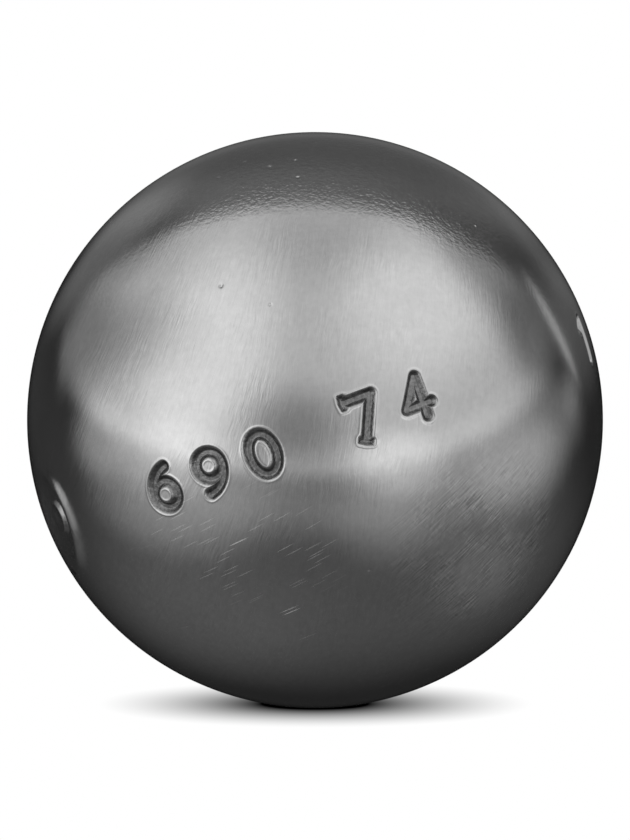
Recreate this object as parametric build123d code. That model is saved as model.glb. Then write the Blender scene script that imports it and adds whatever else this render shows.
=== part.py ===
from build123d import *
import os
from math import degrees, pi, radians, sqrt, tan

# A petanque boule: two pressed steel half shells, joined by one ring of weld that is ground flush.
# The origin is the centre of the ball, +Z is up, and the seam lies in the XZ plane.
# The front half shell faces -Y and carries the struck marks. Sizes are in mm, angles in degrees.

# Ball
ball_diameter = 74.0
wall_thickness = 6.05

# Seam: a lip on the front half locates the rear half, and flat lands butt together under the weld
lip_thickness = 1.6
lip_reach = 2.0
lip_root = 1.0
lip_side_clearance = 0.05
lip_end_clearance = 0.3
weld_depth = 3.0
weld_root_width = 0.8
weld_side_angle = 32.0

# Row of struck figures, on a great circle that rises to the right and passes above the front pole.
# They give the ball's weight in grams, to the nearest step, its diameter in mm, and its number in a set.
row_tilt = 20.0
row_nod = 4.0
figure_height = 6.7
figure_width = 5.0
figure_pitch = 7.1
stroke_width = 1.6
strike_depth = 0.6
steel_density = 0.00785
weight_step = 10.0
weight_place = -21.5
diameter_place = 15.5
ball_number = 1
number_place = 76.5
number_drop = 2.6

# Round proof mark: a shallow dish with a low button in the middle
proof_place = -71.5
proof_drop = 0.0
proof_diameter = 10.6
proof_depth = 1.1
button_diameter = 4.4
button_top_depth = 0.4

# How far the cutters stand out past the ball's surface
cutter_margin = 1.0

ball_radius = ball_diameter / 2
cavity_radius = ball_radius - wall_thickness
lip_radius = cavity_radius + lip_thickness
weld_root_radius = ball_radius - weld_depth


def ball(radius):
    """A solid ball at the origin, with the poles of its surface on the Y axis."""
    return Rot(90, 0, 0) * Sphere(radius)


def half_ball(side):
    """Half of the hollow ball, on the front (-1) or the rear (1) of the seam plane."""
    reach = ball_diameter + 2 * cutter_margin
    half_space = Pos(0, side * reach / 2, 0) * Box(reach, reach, reach)
    return (ball(ball_radius) - ball(cavity_radius)) & half_space


def seam_cylinder(radius, start, end):
    """A solid cylinder about the Y axis, from y = start to y = end."""
    return extrude(Plane.XZ.offset(-start) * Circle(radius), start - end)


def weld_groove():
    """The V-shaped ring between the prepared edges, which runs out past the ball's surface."""
    root = weld_root_width / 2
    outer_radius = ball_radius + cutter_margin
    outer = root + (outer_radius - weld_root_radius) * tan(radians(weld_side_angle))
    section = Polyline(
        (weld_root_radius, -root),
        (outer_radius, -outer),
        (outer_radius, outer),
        (weld_root_radius, root),
        close=True,
    )
    return revolve(make_face(section), Axis.Y)


def stroke(*points):
    """A stroke of a figure through the given points, with round ends."""
    runs = [SlotArc(Line(start, end), stroke_width) for start, end in zip(points, points[1:])]
    return Sketch() + runs


def bow(arc):
    """A stroke of a figure along an arc, with round ends."""
    return SlotArc(arc, stroke_width)


def ring(across, up):
    """A closed oval stroke with the given half axes along its middle line."""
    half = stroke_width / 2
    return Ellipse(across + half, up + half) - Ellipse(across - half, up - half)


def figure(digit):
    """The flat outline of one plain figure, upright along Y and centred on the origin."""
    up = (figure_height - stroke_width) / 2
    across = (figure_width - stroke_width) / 2
    if digit == "0":
        return ring(across, up)
    if digit == "1":
        return stroke((0, -up), (0, up), (-0.85 * across, 0.58 * up))
    if digit == "2":
        crown = CenterArc((0, up - across), across, -35, 200)
        return bow(crown) + stroke(crown @ 0, (-across, -up), (across, -up))
    if digit == "3":
        upper = CenterArc((0, up / 2), up / 2, -90, 240)
        lower = CenterArc((0, -up / 2), up / 2, -150, 240)
        return bow(upper) + bow(lower)
    if digit == "4":
        stem = 0.4 * across
        bar = -0.4 * up
        return stroke((stem, -up), (stem, up), (-across, bar), (across, bar))
    if digit == "5":
        bowl = CenterArc((0, 0.62 * up - up), 0.62 * up, -150, 290)
        return bow(bowl) + stroke(bowl @ 1, (-0.7 * across, up), (across, up))
    if digit == "6":
        bowl = Pos(0, across - up) * ring(across, across)
        tail = TangentArc((-across, across - up), (0.6 * across, up), tangent=(0, 1))
        return bowl + bow(tail)
    if digit == "7":
        return stroke((-across, up), (across, up), (-0.35 * across, -up))
    if digit == "8":
        loop = ring(across, up / 2)
        return Pos(0, up / 2) * loop + Pos(0, -up / 2) * loop
    return Rot(0, 0, 180) * figure("6")


def weight_figures():
    """The ball's weight as it is struck on it."""
    weight = steel_density * 4 / 3 * pi * (ball_radius**3 - cavity_radius**3)
    return f"{round(weight / weight_step) * weight_step:.0f}"


def on_row(place, drop, front_cutter):
    """Carries a cutter from the front pole to an angle along the row and an angle below it."""
    row = Rot(-row_nod, 0, 0) * Rot(0, -row_tilt, 0)
    return row * Rot(0, 0, place) * Rot(drop, 0, 0) * front_cutter


def figure_cutter(digit):
    """The space that one struck figure leaves at the front pole, with a floor that follows the ball."""
    face = Plane.XZ.offset(ball_radius + cutter_margin) * figure(digit)
    return extrude(face, -(cutter_margin + wall_thickness)) - ball(ball_radius - strike_depth)


def figure_row(figures, place, drop=0.0):
    """The cutters for a group of figures that is centred on one place of the row."""
    pitch = degrees(figure_pitch / ball_radius)
    first = place - pitch * (len(figures) - 1) / 2
    return [on_row(first + pitch * i, drop, figure_cutter(digit)) for i, digit in enumerate(figures)]


def proof_cutter():
    """The space that the proof mark leaves at the front pole: a round dish around a button."""
    half = proof_diameter / 2
    floor = ball_radius - proof_depth
    dish_sag = sqrt(ball_radius**2 - half**2) - floor
    dish_radius = (half**2 + dish_sag**2) / (2 * dish_sag)
    dish = Pos(0, -(floor + dish_radius), 0) * Sphere(dish_radius)
    button = seam_cylinder(button_diameter / 2, -ball_radius, -cavity_radius)
    return dish - (button & ball(ball_radius - button_top_depth))


def front_half_shell():
    lip = seam_cylinder(lip_radius, -lip_root, lip_reach) - ball(cavity_radius)
    marks = figure_row(weight_figures(), weight_place)
    marks += figure_row(f"{ball_diameter:.0f}", diameter_place)
    marks += figure_row(f"{ball_number:.0f}", number_place, number_drop)
    marks += [on_row(proof_place, proof_drop, proof_cutter())]
    return half_ball(-1) + lip - weld_groove() - marks


def rear_half_shell():
    seat_radius = lip_radius + lip_side_clearance
    seat = seam_cylinder(seat_radius, -lip_root, lip_reach + lip_end_clearance)
    return half_ball(1) - seat - weld_groove()


def seam_weld():
    return weld_groove() & ball(ball_radius)


os.makedirs("parts", exist_ok=True)
export_step(front_half_shell(), "parts/front_half_shell.step")
export_step(rear_half_shell(), "parts/rear_half_shell.step")
export_step(seam_weld(), "parts/seam_weld.step")
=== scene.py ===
import math

import bmesh
import bpy
import numpy as np
from mathutils import Matrix, Vector


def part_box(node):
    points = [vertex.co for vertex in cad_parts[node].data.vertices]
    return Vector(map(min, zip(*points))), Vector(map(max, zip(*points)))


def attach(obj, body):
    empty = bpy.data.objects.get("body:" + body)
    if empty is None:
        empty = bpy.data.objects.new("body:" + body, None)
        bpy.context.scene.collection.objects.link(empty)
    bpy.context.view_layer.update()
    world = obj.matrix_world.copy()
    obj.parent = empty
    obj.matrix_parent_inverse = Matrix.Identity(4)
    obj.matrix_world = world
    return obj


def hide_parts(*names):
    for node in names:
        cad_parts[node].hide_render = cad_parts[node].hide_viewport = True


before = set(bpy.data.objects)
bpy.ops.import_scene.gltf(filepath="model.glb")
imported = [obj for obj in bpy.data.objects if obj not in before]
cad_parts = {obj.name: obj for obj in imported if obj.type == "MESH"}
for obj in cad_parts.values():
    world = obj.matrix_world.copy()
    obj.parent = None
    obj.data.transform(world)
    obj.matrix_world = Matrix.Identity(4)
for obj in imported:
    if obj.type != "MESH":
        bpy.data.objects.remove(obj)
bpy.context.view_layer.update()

mm = 0.001
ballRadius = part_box("rear_half_shell")[1].y / mm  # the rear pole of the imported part
print("frame loaded, ball radius", round(ballRadius, 3), "mm")

view = {  # the photograph's camera, in degrees and metres
    "elevation": 7.0,
    "distance": 0.70,
    "ballPixels": 288.0,  # radius of the ball in the 630 x 840 frame
    "framePixels": 840.0,  # the long side, which the sensor's width covers
    "sensor": 36.0,
    "clipStart": 0.01,
}
farAway = 1e3  # mm, further than any two places on the ball


def turn(axis, degrees):
    return np.array(Matrix.Rotation(math.radians(degrees), 3, axis))


def smoothStep(low, high, values):
    t = np.clip((values - low) / (high - low), 0.0, 1.0)
    return t * t * (3.0 - 2.0 * t)


def unit(vectors):
    return vectors / np.linalg.norm(vectors, axis=-1, keepdims=True)


towardsCamera = turn("X", -view["elevation"]) @ np.array([0.0, -1.0, 0.0])
cameraUp = turn("X", -view["elevation"]) @ np.array([0.0, 0.0, 1.0])


def seenAt(right, up):
    # direction of the surface point seen that far right of and above the middle, in ball radii
    depth = math.sqrt(1.0 - right * right - up * up)
    return np.array([right, 0.0, 0.0]) + up * cameraUp + depth * towardsCamera


# struck figures and the proof mark, in mm and degrees, at the places where the solids have them
struckRow = {
    "tilt": 20.0,
    "nod": 4.0,
    "height": 6.7,
    "width": 5.0,
    "pitch": 7.1,
    "stroke": 1.6,
    "depth": 0.6,
    "wall": 0.62,  # sloped wall inside the outline
    "shoulder": 0.10,  # rounding outside the outline
    "dullShadeEdge": 0.22,  # how far inside the outline the metal is dull and darkened with painted shade
    "lipHeight": 0.03,  # metal pushed up around a stroke
    "lipPlace": 0.18,
    "lipWidth": 0.13,
    "footWidth": 2.2,  # a stroke's free end is flared and cut square
    "footDepth": 1.0,
    "footRound": 0.28,
    "footBlend": 0.4,
    "flag": (0.85, 0.58),  # of the 1: in half widths and half heights, as the four below
    "stem": 0.4,  # of the 4
    "bar": 0.4,
    "slant": 0.35,  # of the 7
    "tail": 1.6,  # of the 6 and the 9
    "arcSteps": 32,
    "reach": 0.75,  # how far around a figure the relief is worked out, in its height and width together
    "groups": {  # place along the row, drop below it and how dull the metal is, with painted shade darkening it as much
        "690": (-21.5, 0.0, 1.0),
        "74": (15.5, 0.0, 1.0),
        "1": (76.5, 2.6, 0.35),
    },
}
proofMark = {
    "place": -71.5,
    "drop": 0.0,
    "diameter": 10.6,
    "depth": 1.1,
    "buttonDiameter": 4.4,
    "buttonTop": 0.4,
    "buttonEdge": 0.35,
    "dimpleDepth": 0.3,
    "dimpleWidth": 0.9,
    "rimRound": 0.06,
    "rimFade": 1.0,
    "dullAndShaded": 0.6,  # how far its inside is like the floors of the figures, dull and darkened with painted shade
    "lipHeight": 0.50,  # the strike was slanted, so metal is pushed up mainly towards the row
    "lipPlace": 0.7,
    "lipWidth": 1.0,
    "lipSide": (-0.35, 1.0),  # how far towards the row the lip starts and is full
    "workedOut": 0.75,  # radius in diameters that holds the mark and its lip
    "reach": 2.0,  # how far around the mark is looked at, in diameters
}
nicks = {  # small dents in the polish: place as seen in ball radii, radius and depth in mm
    "placed": [
        (-0.3125, 0.445, 0.26, 0.15),
        (-0.147, 0.382, 0.17, 0.09),
        (0.002, 0.948, 0.30, 0.11),
        (-0.067, 0.881, 0.26, 0.10),
        (-0.154, 0.858, 0.28, 0.11),
        (-0.059, 0.819, 0.22, 0.08),
        (-0.240, 0.879, 0.20, 0.07),
        (-0.328, 0.823, 0.20, 0.07),
        (0.226, 0.929, 0.22, 0.08),
        (0.541, 0.656, 0.20, 0.07),
        (0.180, -0.498, 0.18, 0.03),
        (0.272, -0.656, 0.22, 0.03),
        (0.792, -0.531, 0.24, 0.04),
        (0.780, -0.333, 0.18, 0.03),
        (0.380, -0.850, 0.24, 0.03),
    ],
    "seed": 11,
    "scattered": 40,
    "clearFront": 0.5,  # none are scattered where the surface faces the camera
    "radius": (0.10, 0.24),
    "depth": (0.015, 0.04),
    "reach": 4.0,  # how far out a dent is worked out, in its own radii
}


def arcPoints(centre, across, up, start, sweep):
    angles = np.radians(np.linspace(start, start + sweep, struckRow["arcSteps"] + 1))
    return np.stack([centre[0] + across * np.cos(angles), centre[1] + up * np.sin(angles)], axis=1)


def figureStrokes(digit):
    # middle lines of a figure's strokes, and the free ends with the way each one points
    up = (struckRow["height"] - struckRow["stroke"]) / 2
    across = (struckRow["width"] - struckRow["stroke"]) / 2
    if digit == "0":
        return [arcPoints((0, 0), across, up, 0, 360)], []
    if digit in "69":
        reach = struckRow["tail"] * across
        rise = 2 * up - across
        bend = (reach**2 + rise**2) / (2 * reach)
        tailTurn = math.degrees(math.atan2(rise, reach - bend)) - 180
        bowl = arcPoints((0, across - up), across, across, 0, 360)
        tail = arcPoints((bend - across, across - up), bend, bend, 180, tailTurn)
        way = 1 if digit == "6" else -1
        return [way * bowl, way * tail], []
    flagAcross, flagUp = struckRow["flag"]
    stem = struckRow["stem"] * across
    bar = -struckRow["bar"] * up
    lines = {
        "1": [(0, -up), (0, up), (-flagAcross * across, flagUp * up)],
        "4": [(stem, -up), (stem, up), (-across, bar), (across, bar)],
        "7": [(-across, up), (across, up), (-struckRow["slant"] * across, -up)],
    }
    points = np.array(lines[digit], float)
    ends = [(points[0], unit(points[0] - points[1])), (points[-1], unit(points[-1] - points[-2]))]
    return [points], ends if digit == "7" else []


def lineDistance(flat, points):
    best = np.full(len(flat), farAway)
    for start, end in zip(points[:-1], points[1:]):
        along = end - start
        t = np.clip(((flat - start) @ along) / (along @ along), 0.0, 1.0)
        best = np.minimum(best, np.linalg.norm(flat - start - t[:, None] * along, axis=1))
    return best


def smoothLower(first, second, blend):
    # the lower of two distances, with the corner between them filled
    mix = np.clip(0.5 + 0.5 * (second - first) / blend, 0.0, 1.0)
    return second + (first - second) * mix - blend * mix * (1 - mix)


def footDistance(flat, end, way):
    # distance to the square foot at a stroke's free end, flush with the stroke's own end
    half = np.array([struckRow["footDepth"], struckRow["footWidth"]]) / 2 - struckRow["footRound"]
    middle = end + way * (struckRow["stroke"] - struckRow["footDepth"]) / 2
    local = np.stack([(flat - middle) @ way, (flat - middle) @ np.array([-way[1], way[0]])], axis=1)
    over = np.abs(local) - half
    outside = np.linalg.norm(np.maximum(over, 0.0), axis=1)
    return outside + np.minimum(over.max(axis=1), 0.0) - struckRow["footRound"]


def figureDistance(flat, digit):
    # signed distance in mm to a figure's outline, negative inside a stroke
    strokes, ends = figureStrokes(digit)
    distance = np.min([lineDistance(flat, points) for points in strokes], axis=0) - struckRow["stroke"] / 2
    for end, way in ends:
        distance = smoothLower(distance, footDistance(flat, end, way), struckRow["footBlend"])
    return distance


def markFrame(place, drop):
    # right, up and outward at an angle along the row and an angle below it
    row = turn("X", -struckRow["nod"]) @ turn("Y", -struckRow["tilt"])
    return row @ turn("Z", place) @ turn("X", drop) @ np.array([[1, 0, 0], [0, 0, -1], [0, 1, 0]])


def figurePlaces():
    pitch = math.degrees(struckRow["pitch"] / ballRadius)
    for digits, (place, drop, dullAndShadedShare) in struckRow["groups"].items():
        first = place - pitch * (len(digits) - 1) / 2
        for i, digit in enumerate(digits):
            yield digit, markFrame(first + pitch * i, drop), dullAndShadedShare


def nickList():
    chance = np.random.default_rng(nicks["seed"])
    found = [(seenAt(right, up), radius, depth) for right, up, radius, depth in nicks["placed"]]
    for i in range(nicks["scattered"]):
        direction = unit(chance.normal(size=3))
        radius = chance.uniform(*nicks["radius"])
        depth = chance.uniform(*nicks["depth"])
        if direction @ towardsCamera < nicks["clearFront"]:
            found.append((direction, radius, depth))
    return found


figures = list(figurePlaces())
proofFrame = markFrame(proofMark["place"], proofMark["drop"])
dents = nickList()
figureReach = struckRow["reach"] * (struckRow["height"] + struckRow["width"]) / ballRadius
proofReach = proofMark["reach"] * proofMark["diameter"] / ballRadius


def flatPlaces(directions, marks, reach):
    # which directions lie near a mark, and where they lie on its face, in mm
    near = np.nonzero(directions @ marks[:, 2] > math.cos(reach))[0]
    return near, ballRadius * directions[near] @ marks[:, :2]


def proofProfile(flat):
    radius = np.linalg.norm(flat, axis=1)
    half = proofMark["diameter"] / 2
    floor = ballRadius - proofMark["depth"]
    sag = math.sqrt(ballRadius**2 - half**2) - floor
    dishRadius = (half**2 + sag**2) / (2 * sag)
    dish = floor + dishRadius - np.sqrt(dishRadius**2 - radius**2) - np.sqrt(ballRadius**2 - radius**2)
    soft = proofMark["rimRound"]
    fade = smoothStep(half, half + proofMark["rimFade"], radius)
    dish = 0.5 * (dish - np.sqrt(dish**2 + soft**2)) + 0.5 * soft * fade
    edge = proofMark["buttonEdge"]
    button = 1 - smoothStep(-edge, edge, radius - proofMark["buttonDiameter"] / 2)
    dimple = np.exp(-((radius / proofMark["dimpleWidth"]) ** 2))
    top = proofMark["buttonTop"] + proofMark["dimpleDepth"] * dimple
    lip = np.exp(-(((radius - half - proofMark["lipPlace"]) / proofMark["lipWidth"]) ** 2))
    lip *= smoothStep(*proofMark["lipSide"], flat[:, 0] / np.maximum(radius, 0.1))  # no division by zero
    return dish * (1 - button) - top * button + proofMark["lipHeight"] * lip


def surfaceRelief(directions):
    # height of the worked surface over the plain ball in mm, how dull it is with painted shade in the
    # struck floors, and how burnished it is with a painted glint
    height = np.zeros(len(directions))
    struckShade = np.zeros(len(directions))
    burnishGlint = np.zeros(len(directions))
    for digit, marks, dullAndShadedShare in figures:
        near, flat = flatPlaces(directions, marks, figureReach)
        if len(near) == 0:
            continue
        distance = figureDistance(flat, digit)
        sunk = 1 - smoothStep(-struckRow["wall"], struckRow["shoulder"], distance)
        lip = np.exp(-(((distance - struckRow["lipPlace"]) / struckRow["lipWidth"]) ** 2))
        height[near] += struckRow["lipHeight"] * lip - struckRow["depth"] * sunk
        # painted shade: the metal inside a stroke is marked to be darkened, as if shaded in the groove
        dullAndShaded = 1 - smoothStep(-struckRow["dullShadeEdge"], struckRow["shoulder"], distance)
        struckShade[near] = np.maximum(struckShade[near], dullAndShaded * dullAndShadedShare)
        # painted glint: the metal pushed up around a stroke is marked to be lighter
        burnishGlint[near] = np.maximum(burnishGlint[near], lip)
    near, flat = flatPlaces(directions, proofFrame, proofReach)
    radius = np.linalg.norm(flat, axis=1)
    inside = radius < proofMark["workedOut"] * proofMark["diameter"]
    height[near[inside]] += proofProfile(flat[inside])
    # painted shade: the inside of the proof mark is marked to be darkened as well
    dullAndShaded = proofMark["dullAndShaded"] * (radius < proofMark["diameter"] / 2)
    struckShade[near] = np.maximum(struckShade[near], dullAndShaded)
    for place, size, depth in dents:
        near = np.nonzero(directions @ place > math.cos(nicks["reach"] * size / ballRadius))[0]
        away = ballRadius * np.linalg.norm(directions[near] - place, axis=1)
        dent = np.exp(-((away / size) ** 2))
        height[near] -= depth * dent
        # painted glint: a dent is marked to be lighter, as a bright speck
        burnishGlint[near] = np.maximum(burnishGlint[near], dent)
    fromPole = np.arccos(np.clip(np.abs(directions[:, 1]), 0, 1))
    flush = smoothStep(shellTurn, shellTurn - math.radians(shellMesh["flushBand"]), fromPole)
    return height * flush, struckShade, burnishGlint


def detailDistance(directions):
    # how far a direction lies from the nearest worked edge, in mm
    best = np.full(len(directions), farAway)
    for digit, marks, dullAndShadedShare in figures:
        near, flat = flatPlaces(directions, marks, figureReach)
        if len(near):
            edge = np.abs(figureDistance(flat, digit) + shellMesh["edgeInset"])
            best[near] = np.minimum(best[near], edge)
    near, flat = flatPlaces(directions, proofFrame, proofReach)
    radius = np.linalg.norm(flat, axis=1)
    for edge in (proofMark["diameter"] / 2, proofMark["buttonDiameter"] / 2):
        best[near] = np.minimum(best[near], np.abs(radius - edge))
    for place, size, depth in dents:
        away = ballRadius * np.linalg.norm(directions - place, axis=1)
        best = np.minimum(best, np.maximum(away - size, 0.0))
    return best


# half shells and weld: the same seam as the solids, in mm and degrees
seam = {
    "wall": 6.05,
    "lipThickness": 1.6,
    "lipReach": 2.0,
    "lipSideClearance": 0.05,
    "lipEndClearance": 0.3,
    "weldDepth": 3.0,
    "weldRootWidth": 0.8,
    "weldSideAngle": 32.0,
}
shellMesh = {
    "gridCount": 132,  # quads across a half shell before it is refined
    "refineBands": [1.6, 0.9, 0.55],  # mm from a worked edge, one for each halving of the quads
    "edgeInset": 0.12,  # mm inside a figure's outline, where its mesh is finest
    "flushBand": 2.5,  # degrees beside the weld over which the relief fades out
    "innerRings": 20,
    "weldStrips": 6,
    "slopeStep": 0.02,  # mm, for the normals
}

cavityRadius = ballRadius - seam["wall"]
lipRadius = cavityRadius + seam["lipThickness"]
weldRootRadius = ballRadius - seam["weldDepth"]


def weldEdge():
    # half width of the weld where it meets the ball's surface
    slope = math.tan(math.radians(seam["weldSideAngle"]))
    width = seam["weldRootWidth"] / 2
    for i in range(20):  # more than it needs to settle
        radius = math.sqrt(ballRadius**2 - width**2)
        width = seam["weldRootWidth"] / 2 + (radius - weldRootRadius) * slope
    return width


weldHalfWidth = weldEdge()
shellTurn = math.acos(weldHalfWidth / ballRadius)  # from the pole to the weld


def discGrid(count):
    # a square grid laid on a disc, with even steps along its rim
    line = np.linspace(-1.0, 1.0, count + 1)
    a, b = np.meshgrid(line, line, indexing="ij")
    wide = np.abs(a) >= np.abs(b)
    radius = np.where(wide, a, b)
    safeA = np.where(np.abs(a) < 1e-12, 1.0, a)
    safeB = np.where(np.abs(b) < 1e-12, 1.0, b)
    angle = np.where(wide, math.pi / 4 * b / safeA, math.pi / 2 - math.pi / 4 * a / safeB)
    return radius * np.cos(angle), radius * np.sin(angle)


def surfaceNormals(directions):
    step = shellMesh["slopeStep"] / ballRadius
    level = np.abs(directions[:, 2:3]) < 0.9
    side = np.where(level, [[0.0, 0.0, 1.0]], [[1.0, 0.0, 0.0]])
    right = unit(np.cross(side, directions))
    up = np.cross(directions, right)
    slopes = []
    for tangent in (right, up):
        ahead = surfaceRelief(unit(directions + step * tangent))[0]
        behind = surfaceRelief(unit(directions - step * tangent))[0]
        slopes.append((ahead - behind) / (2 * shellMesh["slopeStep"]))
    return unit(directions - slopes[0][:, None] * right - slopes[1][:, None] * up)


def brushChart(directions):
    # the half ball rolled out flat from its pole, in mm, so that brush lines keep their width
    angle = np.arccos(np.clip(np.abs(directions[:, 1]), 0.0, 1.0))
    stretch = np.where(angle > 1e-6, angle / np.maximum(np.sin(angle), 1e-9), 1.0)
    return ballRadius * stretch[:, None] * directions[:, [0, 2]]


def ringPoints(angles, radius, y):
    return np.stack([radius * np.cos(angles), np.full(len(angles), y), radius * np.sin(angles)], axis=1)


def addRing(bm, last, points, flip):
    ring = [bm.verts.new(point) for point in points]
    for i in range(len(ring)):
        j = (i + 1) % len(ring)
        corners = [last[i], last[j], ring[j], ring[i]]
        bm.faces.new(corners[::-1] if flip else corners)
    return ring


def finishMesh(name, bm, outerCount, normals, attributes):
    mesh = bpy.data.meshes.new(name)
    bm.to_mesh(mesh)
    bm.free()
    for polygon in mesh.polygons:
        polygon.use_smooth = True
    count = len(mesh.vertices)
    places = np.zeros(count * 3)
    mesh.vertices.foreach_get("co", places)
    places = places.reshape(-1, 3)
    corners = np.zeros(len(mesh.loops), int)
    mesh.loops.foreach_get("vertex_index", corners)
    starts = np.zeros(len(mesh.polygons), int)
    mesh.polygons.foreach_get("loop_start", starts)
    chart = brushChart(unit(places))
    firstHidden = starts[outerCount] if outerCount < len(starts) else len(corners)
    hidden = np.arange(len(corners)) >= firstHidden
    brush = mesh.uv_layers.new(name="Brush")
    brush.data.foreach_set("uv", chart[corners].astype(np.float32).ravel())
    bake = mesh.uv_layers.new(name="OFBake")
    bake.data.foreach_set("uv", bakeChart(places, chart, corners, hidden).astype(np.float32).ravel())
    for key, values in attributes.items():
        filled = np.zeros(count, np.float32)
        filled[: len(values)] = values
        mesh.attributes.new(key, "FLOAT", "POINT").data.foreach_set("value", filled)
    padded = np.zeros((count, 3))
    padded[: len(normals)] = normals
    mesh.vertices.foreach_set("co", (places * mm).astype(np.float32).ravel())
    mesh.normals_split_custom_set_from_vertices([tuple(n) for n in padded])
    mesh.update()
    piece = bpy.data.objects.new(name, mesh)
    bpy.context.scene.collection.objects.link(piece)
    return piece


bakeSheet = {  # in parts of the square's side
    "outside": (0.5, 0.485),  # middle and radius
    "inside": (0.085, 0.07),
    "depthShare": 0.45,  # keeps the faces inside apart by their distance from the seam
}


def bakeChart(places, chart, corners, hidden):
    # the outside fills the square's disc, and the faces inside go into one corner of the square
    whole = math.pi / 2 * ballRadius
    middle, size = bakeSheet["outside"]
    outside = middle + size * chart[corners] / whole
    middle, size = bakeSheet["inside"]
    share = bakeSheet["depthShare"]
    reach = np.abs(places[corners, 1:2]) / ballRadius
    inside = middle + size * chart[corners] / whole * (1 - share + share * reach)
    return np.where(hidden[:, None], inside, outside)


def halfShell(name, side, lipProfile):
    # side is -1 for the front and 1 for the rear
    count = shellMesh["gridCount"]
    x, z = discGrid(count)
    angle = shellTurn * np.hypot(x, z)
    stretch = np.where(angle > 1e-9, np.sin(angle) / np.maximum(np.hypot(x, z), 1e-12), shellTurn)
    directions = np.stack([x * stretch, side * np.cos(angle), z * stretch], axis=-1).reshape(-1, 3)
    bm = bmesh.new()
    verts = [bm.verts.new(direction) for direction in directions]
    for i in range(count):
        for j in range(count):
            a = i * (count + 1) + j
            corners = [verts[a], verts[a + count + 1], verts[a + count + 2], verts[a + 1]]
            bm.faces.new(corners if side < 0 else corners[::-1])
    for band in shellMesh["refineBands"]:
        bm.faces.ensure_lookup_table()
        centres = unit(np.array([face.calc_center_median() for face in bm.faces]))
        close = np.nonzero(detailDistance(centres) < band)[0]
        edges = {edge for i in close for edge in bm.faces[i].edges if not edge.is_boundary}
        bmesh.ops.subdivide_edges(bm, edges=list(edges), cuts=1, use_grid_fill=True)
        for vert in bm.verts:
            vert.co.normalize()
    bm.verts.index_update()
    directions = unit(np.array([vert.co for vert in bm.verts]))
    relief, struckShade, burnishGlint = surfaceRelief(directions)
    normals = surfaceNormals(directions)
    for vert, place in zip(bm.verts, directions * (ballRadius + relief)[:, None]):
        vert.co = place
    outerCount = len(bm.faces)
    rim = sorted((v for v in bm.verts if v.is_boundary), key=lambda v: math.atan2(v.co.z, v.co.x))
    angles = np.array([math.atan2(v.co.z, v.co.x) for v in rim])
    for radius, y in lipProfile:
        rim = addRing(bm, rim, ringPoints(angles, radius, y), side > 0)
    start = math.acos(side * lipProfile[-1][1] / cavityRadius)
    for step in np.linspace(start, 0.0, shellMesh["innerRings"] + 1)[1:-1]:
        points = ringPoints(angles, cavityRadius * math.sin(step), side * cavityRadius * math.cos(step))
        rim = addRing(bm, rim, points, side > 0)
    pole = bm.verts.new((0, side * cavityRadius, 0))
    for i in range(len(rim)):
        corners = [rim[i], rim[(i + 1) % len(rim)], pole]
        bm.faces.new(corners[::-1] if side > 0 else corners)
    print(name, "faces", len(bm.faces), "of which outside", outerCount)
    return finishMesh(name, bm, outerCount, normals, {"struckShade": struckShade, "burnishGlint": burnishGlint})


def onCavity(y):
    return math.sqrt(cavityRadius**2 - y**2)


def onBall(y):
    return math.sqrt(ballRadius**2 - y**2)


def frontProfile():
    root = seam["weldRootWidth"] / 2
    reach = seam["lipReach"]
    return [
        (weldRootRadius, -root),
        (weldRootRadius, 0.0),
        (lipRadius, 0.0),
        (lipRadius, reach),
        (onCavity(reach), reach),
    ]


def rearProfile():
    root = seam["weldRootWidth"] / 2
    seat = lipRadius + seam["lipSideClearance"]
    reach = seam["lipReach"] + seam["lipEndClearance"]
    return [
        (weldRootRadius, root),
        (weldRootRadius, 0.0),
        (seat, 0.0),
        (seat, reach),
        (onCavity(reach), reach),
    ]


def weldRing(name):
    angles = np.arctan2(*discRim()[::-1])
    strips = np.linspace(-weldHalfWidth, weldHalfWidth, shellMesh["weldStrips"] + 1)
    bm = bmesh.new()
    rim = [bm.verts.new(point) for point in ringPoints(angles, onBall(strips[0]), strips[0])]
    first = rim
    for y in strips[1:]:
        rim = addRing(bm, rim, ringPoints(angles, onBall(y), y), True)
    outerCount = len(bm.faces)
    normals = unit(np.array([vert.co for vert in bm.verts]))
    root = seam["weldRootWidth"] / 2
    rim = addRing(bm, rim, ringPoints(angles, weldRootRadius, root), True)
    rim = addRing(bm, rim, ringPoints(angles, weldRootRadius, -root), True)
    for i in range(len(rim)):
        j = (i + 1) % len(rim)
        bm.faces.new([first[i], first[j], rim[j], rim[i]])
    print(name, "faces", len(bm.faces))
    return finishMesh(name, bm, outerCount, normals, {"struckShade": [0.0], "burnishGlint": [0.0]})


def discRim():
    grid = np.stack(discGrid(shellMesh["gridCount"]))
    rim = np.concatenate([grid[:, :-1, 0], grid[:, -1, :-1], grid[:, :0:-1, -1], grid[:, 0, :0:-1]], axis=1)
    order = np.argsort(np.arctan2(rim[1], rim[0]))
    return rim[:, order]


# materials
def addNode(tree, kind, inputs=None, **settings):
    made = tree.nodes.new("ShaderNode" + kind)
    for key, value in settings.items():
        setattr(made, key, value)
    for key, value in (inputs or {}).items():
        if isinstance(value, bpy.types.NodeSocket):
            tree.links.new(value, made.inputs[key])
        else:
            made.inputs[key].default_value = value
    return made


def calc(tree, operation, first, second=0.0, third=0.0, clamp=False):
    made = addNode(tree, "Math", {0: first, 1: second, 2: third}, operation=operation, use_clamp=clamp)
    return made.outputs[0]


def spread(tree, value, low, high, toLow, toHigh):
    # an eased step from one value to another
    made = addNode(
        tree,
        "MapRange",
        {"Value": value, "From Min": low, "From Max": high, "To Min": toLow, "To Max": toHigh},
        interpolation_type="SMOOTHSTEP",
    )
    return made.outputs["Result"]


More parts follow.
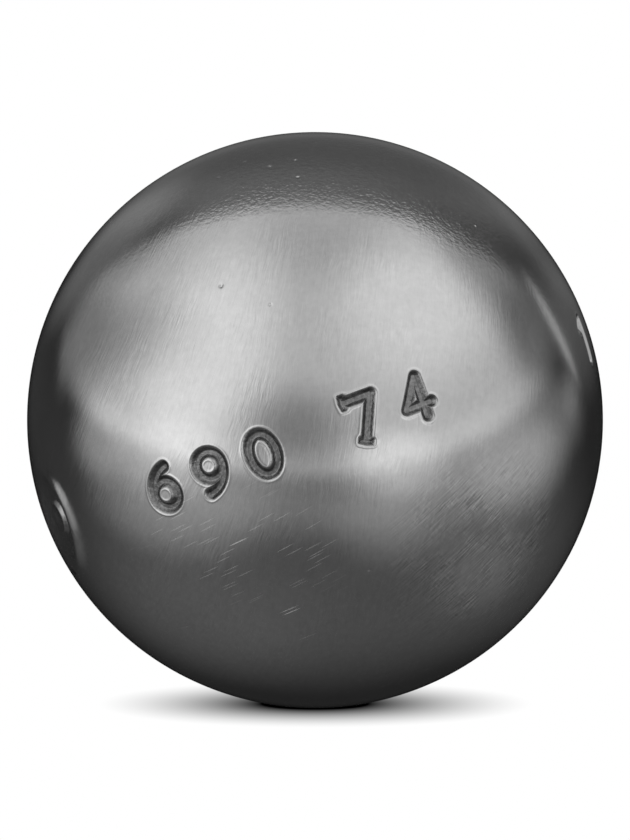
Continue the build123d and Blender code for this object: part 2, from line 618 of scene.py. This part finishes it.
def noise(tree, vector, size=1.0, detail=2.0):
    # from about -1 to 1
    look = {"Vector": vector, "Scale": 1 / size, "Detail": detail, "Roughness": steel["noiseRoughness"]}
    made = addNode(tree, "TexNoise", look)
    return calc(tree, "MULTIPLY_ADD", made.outputs["Fac"], 2.0, -1.0)


def placed(tree, vector, place=(0.0, 0.0), angle=0.0, size=(1.0, 1.0)):
    # the vector in the own units of a spot with that place, turn and size
    spot = {
        "Vector": vector,
        "Location": (*place, 0.0),
        "Rotation": (0.0, 0.0, math.radians(angle)),
        "Scale": (*size, 1.0),
    }
    return addNode(tree, "Mapping", spot, vector_type="TEXTURE").outputs[0]


def lengthOf(tree, vector):
    return addNode(tree, "VectorMath", {0: vector}, operation="LENGTH").outputs["Value"]


steel = {  # sizes in mm, angles in degrees, places on the chart that is rolled out from the pole
    "colour": 0.56,
    "weldTint": 0.97,
    "roughness": 0.16,
    "noiseRoughness": 0.6,
    "frontFade": 8.0,  # what is placed on the front fades out over this distance before the seam
    "patchCore": 0.45,  # part of its reach over which a patch is full
    "unevenNoise": (-0.3, 0.4),  # noise at which uneven lines are weak and strong
    "brushLean": 0.14,  # sideways run of the brush lines for each mm of height
    "brushLeanLeft": 0.011,  # further lean for each mm to the left
    "brushLines": {  # length, width, share in tone, roughness and height
        "fine": (1.6, 0.16, 0.09, 0.02, 0.0036),
        "middle": (2.8, 0.36, 0.07, 0.015, 0.0080),
        "broad": (7.0, 0.95, 0.03, 0.010, 0.0110),
    },
    "brushPatch": 7.0,  # the lines are strong in patches of this size and weak between them
    "brushStrength": (0.5, 1.4),
    "lineShift": 3.7,  # keeps each kind of line off the noise of the one before
    "brushWaver": 0.35,
    "brushWaverSize": 3.0,
    "brushPlace": (-6.0, 4.0),  # the lines fade to faint away from here
    "brushReach": (44.0, 56.0),
    "brushFaint": 0.25,
    "cloudSize": 9.0,
    "cloudTone": 0.06,
    "cloudRough": 0.03,
    "mottleSize": 0.9,
    "mottleTone": 0.10,
    "wrinkleSize": 0.55,
    "wrinkleStart": (30.0, 39.0),  # how far from the pole the crumpled skin starts and is full
    "wrinkles": {  # its place, reach and depth
        "above": ((7.0, 38.0), (32.0, 22.0), 0.036),
        "left": ((-26.0, 27.0), (16.0, 17.0), 0.009),
        "right": ((30.0, 25.0), (14.0, 14.0), 0.005),
    },
    "scuffPlace": (23.5, -15.0),  # dense slanting scratches
    "scuffReach": (17.0, 18.0),
    "scuffPatch": 3.0,
    "scuffStrength": (0.4, 1.5),
    "scuffRough": 0.04,
    "scuffs": {  # angle, length, width, tone and depth
        "rising": (41.0, 3.2, 0.20, 0.55, 0.0090),
        "steep": (56.0, 2.0, 0.15, 0.26, 0.0040),
        "crossing": (-46.0, 1.6, 0.15, 0.26, 0.0040),
    },
    "scratches": {  # place, reach, angle, cell, size in the cell, share of the cells and tone
        "single": ((-9.0, -18.0), (17.0, 14.0), 29.0, (15.0, 0.7), 0.12, 0.22, 0.75),
        "dense": ((-10.0, -12.5), (19.0, 10.5), 31.0, (12.0, 0.55), 0.13, 0.70, 0.40),
    },
    "scratchCore": 0.5,  # part of a scratch's size that is full
    "scratchRough": 0.5,  # roughness for its tone
    # painted shade: the struck floors are darkened as if shaded in their recess, besides being dull
    "struckShadeTone": -0.62,
    "struckRough": 0.14,
    "struckGrain": 0.45,
    "struckGrainTone": 0.25,
    "struckDepth": 0.035,
    # painted glint: pushed up metal and dents are made lighter, partly rubbed metal and partly painted
    # highlight
    "burnishGlintTone": 0.10,
}


def plainSkin(tree):
    # coordinates, and the clouded tone, roughness and height that the layers add to
    solid = addNode(tree, "TexCoord").outputs["Object"]
    depth = addNode(tree, "SeparateXYZ", {0: solid}).outputs["Y"]
    cloud = noise(tree, solid, steel["cloudSize"] * mm, detail=3.0)
    return {
        "chart": addNode(tree, "UVMap", uv_map="Brush").outputs["UV"],
        "solid": solid,
        "front": spread(tree, depth, -steel["frontFade"] * mm, 0.0, 1.0, 0.0),
        "tone": calc(tree, "MULTIPLY", cloud, steel["cloudTone"]),
        "rough": calc(tree, "MULTIPLY_ADD", cloud, steel["cloudRough"], steel["roughness"]),
        "height": 0.0,
    }


def addTo(tree, skin, layer, **shares):
    for key, share in shares.items():
        skin[key] = calc(tree, "MULTIPLY_ADD", layer, share, skin[key])


def around(tree, skin, place, reach, outside=0.0):
    away = lengthOf(tree, placed(tree, skin["chart"], place, size=reach))
    return spread(tree, away, steel["patchCore"], 1.0, 1.0, outside)


def frontPatch(tree, skin, place, reach):
    return calc(tree, "MULTIPLY", around(tree, skin, place, reach), skin["front"])


def uneven(tree, skin, size, detail, strength):
    return spread(tree, noise(tree, skin["solid"], size * mm, detail), *steel["unevenNoise"], *strength)


def brushLayer(tree, skin):
    # wavering lines, which lean further over on the left
    flat = addNode(tree, "SeparateXYZ", {0: skin["chart"]})
    x = flat.outputs["X"]
    z = flat.outputs["Y"]
    leftward = calc(tree, "MAXIMUM", calc(tree, "MULTIPLY", x, -1.0), 0.0)
    lean = calc(tree, "MULTIPLY_ADD", leftward, steel["brushLeanLeft"], steel["brushLean"])
    across = calc(tree, "SUBTRACT", x, calc(tree, "MULTIPLY", z, lean))
    waver = noise(tree, skin["solid"], steel["brushWaverSize"] * mm, detail=1.0)
    across = calc(tree, "MULTIPLY_ADD", waver, steel["brushWaver"], across)
    strength = uneven(tree, skin, steel["brushPatch"], 2.0, steel["brushStrength"])
    fading = around(tree, skin, steel["brushPlace"], steel["brushReach"], steel["brushFaint"])
    strength = calc(tree, "MULTIPLY", strength, fading)
    for i, (length, width, inTone, inRough, inHeight) in enumerate(steel["brushLines"].values()):
        sideways = calc(tree, "DIVIDE", across, width)
        along = calc(tree, "DIVIDE", z, length)
        place = addNode(tree, "CombineXYZ", {"X": sideways, "Y": along, "Z": steel["lineShift"] * i})
        line = calc(tree, "MULTIPLY", noise(tree, place.outputs[0]), strength)
        addTo(tree, skin, line, tone=inTone, rough=inRough, height=inHeight)


def crumpleLayer(tree, skin):
    # mottled all over, and crumpled away from the pole
    mottle = noise(tree, skin["solid"], steel["mottleSize"] * mm)
    addTo(tree, skin, mottle, tone=steel["mottleTone"])
    start = spread(tree, lengthOf(tree, skin["chart"]), *steel["wrinkleStart"], 0.0, 1.0)
    wrinkle = calc(tree, "MULTIPLY", noise(tree, skin["solid"], steel["wrinkleSize"] * mm), start)
    for place, reach, depth in steel["wrinkles"].values():
        fold = calc(tree, "MULTIPLY", wrinkle, frontPatch(tree, skin, place, reach))
        addTo(tree, skin, fold, height=depth)


def scuffLayer(tree, skin):
    scuffed = frontPatch(tree, skin, steel["scuffPlace"], steel["scuffReach"])
    strength = uneven(tree, skin, steel["scuffPatch"], 1.0, steel["scuffStrength"])
    scuffed = calc(tree, "MULTIPLY", scuffed, strength)
    addTo(tree, skin, scuffed, rough=steel["scuffRough"])
    for angle, length, width, inTone, inHeight in steel["scuffs"].values():
        laid = placed(tree, skin["chart"], angle=angle, size=(length, width))
        scuff = calc(tree, "MULTIPLY", noise(tree, laid, detail=1.0), scuffed)
        addTo(tree, skin, scuff, tone=inTone, height=inHeight)


def scratchLayer(tree, skin):
    # one short scratch in each cell that is kept
    for place, reach, angle, cell, size, share, strength in steel["scratches"].values():
        laid = placed(tree, skin["chart"], angle=angle, size=cell)
        cells = addNode(tree, "TexVoronoi", {"Vector": laid, "Scale": 1.0}, voronoi_dimensions="2D")
        kept = addNode(tree, "SeparateColor", {0: cells.outputs["Color"]}).outputs[0]
        kept = calc(tree, "LESS_THAN", kept, share)
        kept = calc(tree, "MULTIPLY", kept, frontPatch(tree, skin, place, reach))
        scratch = spread(tree, cells.outputs["Distance"], steel["scratchCore"] * size, size, 1.0, 0.0)
        scratch = calc(tree, "MULTIPLY", scratch, kept)
        addTo(tree, skin, scratch, tone=strength, rough=steel["scratchRough"] * strength)


def struckShadeAndGlintLayer(tree, skin):
    # struck floors are rough and dull and darkened with painted shade, and pushed up metal and dents are
    # rubbed bright with a painted glint
    struckShade = addNode(tree, "Attribute", attribute_name="struckShade").outputs["Fac"]
    burnishGlint = addNode(tree, "Attribute", attribute_name="burnishGlint").outputs["Fac"]
    grain = calc(tree, "MULTIPLY", noise(tree, skin["solid"], steel["struckGrain"] * mm), struckShade)
    addTo(tree, skin, struckShade, tone=steel["struckShadeTone"], rough=steel["struckRough"])
    addTo(tree, skin, grain, tone=steel["struckGrainTone"], height=steel["struckDepth"])
    addTo(tree, skin, burnishGlint, tone=steel["burnishGlintTone"])


def brushedSteel(name, tint):
    material = bpy.data.materials.new(name)
    material.use_nodes = True
    tree = material.node_tree
    shader = tree.nodes["Principled BSDF"]
    shader.inputs["Metallic"].default_value = 1.0
    skin = plainSkin(tree)
    for addLayer in (brushLayer, crumpleLayer, scuffLayer, scratchLayer, struckShadeAndGlintLayer):
        addLayer(tree, skin)
    grey = calc(tree, "MULTIPLY_ADD", skin["tone"], steel["colour"], steel["colour"] * tint)
    colour = addNode(tree, "CombineColor", {"Red": grey, "Green": grey, "Blue": grey})
    height = calc(tree, "MULTIPLY", skin["height"], mm)
    bump = addNode(tree, "Bump", {"Height": height, "Strength": 1.0, "Distance": 1.0})
    tree.links.new(colour.outputs[0], shader.inputs["Base Color"])
    tree.links.new(skin["rough"], shader.inputs["Roughness"])
    tree.links.new(bump.outputs["Normal"], shader.inputs["Normal"])
    return material


frontShell = halfShell("front_half_shell_polished", -1, frontProfile())
rearShell = halfShell("rear_half_shell_polished", 1, rearProfile())
weldBand = weldRing("seam_weld_ground")
shellSteel = brushedSteel("shell_steel_brushed", 1.0)
weldSteel = brushedSteel("weld_steel_ground", steel["weldTint"])
for piece, material, node, slot in (
    (frontShell, shellSteel, "front_half_shell", "shell_steel"),
    (rearShell, shellSteel, "rear_half_shell", "shell_steel"),
    (weldBand, weldSteel, "seam_weld", "weld_steel"),
):
    piece.data.materials.append(material)
    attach(piece, "root")
    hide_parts(node)
print("pieces dressed")

# stage: pale floor, and a light tent around the ball
stage = {
    "floorSize": 6.0,
    "floorColour": 0.8,
    "shadowDepth": 1.6,  # how much narrower the contact shadow is along the view
    "shadowFall": 3.0,  # how fast it fades with distance
    "shadowStart": 0.05,
    "shadowGain": 2.25,
    "shadowFringe": 1.25,  # over 1 lets the outer edge fade out
    "tentRadius": 1.2,
    "tentSegments": (64, 32),
    "tentLining": 0.022,
    "hemStart": (147.0, 166.0),  # degrees from the camera over which the tent's upper hem gets bright
    "hemRise": (0.7, 0.95),  # how far up on the tent the hem starts and is full
    "hemStrength": 0.09,
    "openingStart": (155.0, 172.0),  # the tent gets dark towards its opening behind the ball
    "openingShade": 0.2,
}
# degrees right of and above the camera, half width, half height, turn, softness and strength
# a strength below zero shades what is listed before it
tentPanels = {
    "frontWall": (-6, 36, 113, 57, 0, 0.08, 0.66),
    "leftSoftbox": (-44, 26, 24, 46, -20, 0.6, 0.46),
    "rightSoftbox": (40, 46, 30, 28, 0, 0.6, 0.37),
    "topFlag": (2, 80, 24, 24, 0, 0.6, -0.18),
    "leftFlag": (-112, 42, 26, 32, 0, 0.6, -0.60),
    "leftBand": (-72, 36, 20, 14, 0, 0.8, -0.28),
    "upperLeftFlag": (-80, 80, 20, 12, 45, 0.6, -0.40),
    "upperRightFlag": (82, 76, 45, 24, -54, 0.5, -0.56),
    "rightFlag": (98, 38, 17, 26, 14, 0.6, -0.64),
    "lensFlag": (-7, -4, 19, 14, 0, 0.8, -0.68),
    "lowReflector": (34, -17, 18, 11, 0, 0.6, 0.50),
    "lowLeftReflector": (-62, -14, 20, 14, 0, 0.6, 0.26),
    "leftSide": (-92, -8, 14, 15, 0, 0.6, 0.34),
    "leftStrip": (-120, 29, 3, 17, 0, 0.5, 0.10),
    "rightSide": (82, -18, 26, 17, 0, 0.7, 0.45),
    "rightTail": (107, 2, 19, 16, 0, 0.7, 0.19),
    "rightStrip": (114, 44, 2.4, 27, 31, 0.4, 0.50),
    "rightHook": (122, 12, 6, 10, 0, 0.6, 0.11),
    "topGlow": (-15, 104, 60, 14, 0, 0.8, 0.07),
    "topBack": (0, 128, 150, 45, 0, 0.3, 0.09),
    "rightRim": (100, 72, 50, 24, -54, 0.5, 0.055),
    "rightOuter": (119, 93, 46, 13, -52, 0.6, 0.055),
    "leftRim": (-102, 88, 44, 18, 46, 0.5, 0.15),
    "leftBack": (-138, 16, 22, 50, 0, 0.5, 0.02),
    "rightBack": (134, 52, 22, 36, 0, 0.5, 0.05),
    "lowFront": (0, -50, 110, 68, 0, 0.45, 0.088),
    "lowBand": (6, -32, 50, 11, 0, 0.8, 0.14),
    "lowLeftFill": (-56, -32, 34, 20, 0, 0.6, 0.25),
    "lowRightFill": (33, -38, 21, 15, 0, 0.8, 0.17),
    "lowSideFill": (76, -62, 22, 22, 0, 0.6, 0.07),
    "lowLeftBack": (-52, -88, 44, 34, 0, 0.7, 0.034),
    "lowRightBack": (100, -75, 40, 40, 0, 0.7, 0.022),
}


def whiteForCamera(tree):
    path = addNode(tree, "LightPath")
    seen = calc(tree, "MAXIMUM", path.outputs["Is Camera Ray"], path.outputs["Is Glossy Ray"])
    return calc(tree, "MAXIMUM", seen, path.outputs["Is Transmission Ray"])


def floorMaterial():
    material = bpy.data.materials.new("pale_floor")
    material.use_nodes = True
    tree = material.node_tree
    tree.nodes.remove(tree.nodes["Principled BSDF"])
    # how much of the room the resting ball hides from a point of the floor
    place = addNode(tree, "NewGeometry").outputs["Position"]
    narrowed = {0: place, 1: (1.0, stage["shadowDepth"], 1.0)}
    away = lengthOf(tree, addNode(tree, "VectorMath", narrowed, operation="MULTIPLY").outputs[0])
    hidden = calc(tree, "POWER", calc(tree, "DIVIDE", ballRadius * mm, away), stage["shadowFall"])
    light = calc(tree, "SUBTRACT", 1.0 - stage["shadowStart"], hidden)
    light = calc(tree, "MULTIPLY", light, stage["shadowGain"], clamp=True)
    shade = calc(tree, "POWER", calc(tree, "SUBTRACT", 1.0, light), stage["shadowFringe"])
    light = calc(tree, "SUBTRACT", 1.0, shade)
    lit = addNode(tree, "Emission", {"Color": light, "Strength": 1.0})
    matte = addNode(tree, "BsdfDiffuse", {"Color": (*(stage["floorColour"],) * 3, 1.0)})
    both = addNode(tree, "MixShader", {0: whiteForCamera(tree), 1: matte.outputs[0], 2: lit.outputs[0]})
    tree.links.new(both.outputs[0], tree.nodes["Material Output"].inputs["Surface"])
    return material


def tentMaterial():
    material = bpy.data.materials.new("light_tent")
    material.use_nodes = True
    material.cycles.emission_sampling = "NONE"
    tree = material.node_tree
    tree.nodes.remove(tree.nodes["Principled BSDF"])
    place = addNode(tree, "TexCoord").outputs["Object"]
    place = addNode(tree, "VectorMath", {0: place}, operation="NORMALIZE").outputs[0]
    x, y, z = addNode(tree, "SeparateXYZ", {0: place}).outputs
    fromAxis = calc(tree, "SQRT", calc(tree, "MULTIPLY_ADD", z, z, calc(tree, "MULTIPLY", x, x)))
    angle = calc(tree, "DEGREES", calc(tree, "ARCTAN2", fromAxis, calc(tree, "MULTIPLY", y, -1.0)))
    fromAxis = calc(tree, "MAXIMUM", fromAxis, 0.0001)  # no division by zero
    reach = calc(tree, "DIVIDE", angle, fromAxis)
    seenRight = calc(tree, "MULTIPLY", x, reach)
    seenUp = calc(tree, "MULTIPLY", z, reach)
    seen = addNode(tree, "CombineXYZ", {"X": seenRight, "Y": seenUp}).outputs[0]
    total = stage["tentLining"]
    for right, up, wide, high, turned, soft, strength in tentPanels.values():
        away = lengthOf(tree, placed(tree, seen, (right, up), turned, (wide, high)))
        if strength > 0:
            total = calc(tree, "ADD", spread(tree, away, 1 - soft, 1 + soft, strength, 0.0), total)
        else:
            total = calc(tree, "MULTIPLY", spread(tree, away, 1 - soft, 1 + soft, 1 + strength, 1.0), total)
    hem = spread(tree, calc(tree, "DIVIDE", z, fromAxis), *stage["hemRise"], 0.0, stage["hemStrength"])
    total = calc(tree, "MULTIPLY_ADD", hem, spread(tree, angle, *stage["hemStart"], 0.0, 1.0), total)
    opening = spread(tree, angle, *stage["openingStart"], 1.0, stage["openingShade"])
    glow = addNode(tree, "Emission", {"Strength": calc(tree, "MULTIPLY", total, opening)})
    tree.links.new(glow.outputs[0], tree.nodes["Material Output"].inputs["Surface"])
    return material


def stagePiece(name, bm, material):
    mesh = bpy.data.meshes.new(name)
    bm.to_mesh(mesh)
    bm.free()
    mesh.materials.append(material)
    piece = bpy.data.objects.new(name, mesh)
    bpy.context.scene.collection.objects.link(piece)
    return piece


def buildStage():
    floorLevel = -ballRadius * mm
    bm = bmesh.new()
    bmesh.ops.create_grid(bm, x_segments=1, y_segments=1, size=stage["floorSize"] / 2)
    floor = stagePiece("floor", bm, floorMaterial())
    floor.location.z = floorLevel
    floor.visible_glossy = False  # the ball shows the tent's own dark lining below
    bm = bmesh.new()
    across, up = stage["tentSegments"]
    bmesh.ops.create_uvsphere(bm, u_segments=across, v_segments=up, radius=stage["tentRadius"])
    tent = stagePiece("light_tent", bm, tentMaterial())
    tent.rotation_euler.x = math.radians(-view["elevation"])
    tent.visible_camera = False
    tent.visible_shadow = False


def buildWorld():
    world = bpy.data.worlds.new("white_room")
    bpy.context.scene.world = world
    world.use_nodes = True
    tree = world.node_tree
    background = tree.nodes["Background"]
    background.inputs["Color"].default_value = (1.0, 1.0, 1.0, 1.0)
    tree.links.new(whiteForCamera(tree), background.inputs["Strength"])


def buildCamera():
    camera = bpy.data.cameras.new("camera")
    ratio = ballRadius * mm / math.sqrt(view["distance"] ** 2 - (ballRadius * mm) ** 2)
    camera.sensor_width = view["sensor"]
    camera.lens = view["ballPixels"] / ratio / view["framePixels"] * view["sensor"]
    camera.clip_start = view["clipStart"]
    holder = bpy.data.objects.new("camera", camera)
    holder.location = Vector(towardsCamera * view["distance"])
    holder.rotation_euler = (-holder.location).to_track_quat("-Z", "Y").to_euler()
    bpy.context.scene.collection.objects.link(holder)
    bpy.context.scene.camera = holder


buildStage()
buildWorld()
buildCamera()
bpy.context.scene.view_settings.view_transform = "Standard"
print("stage set")
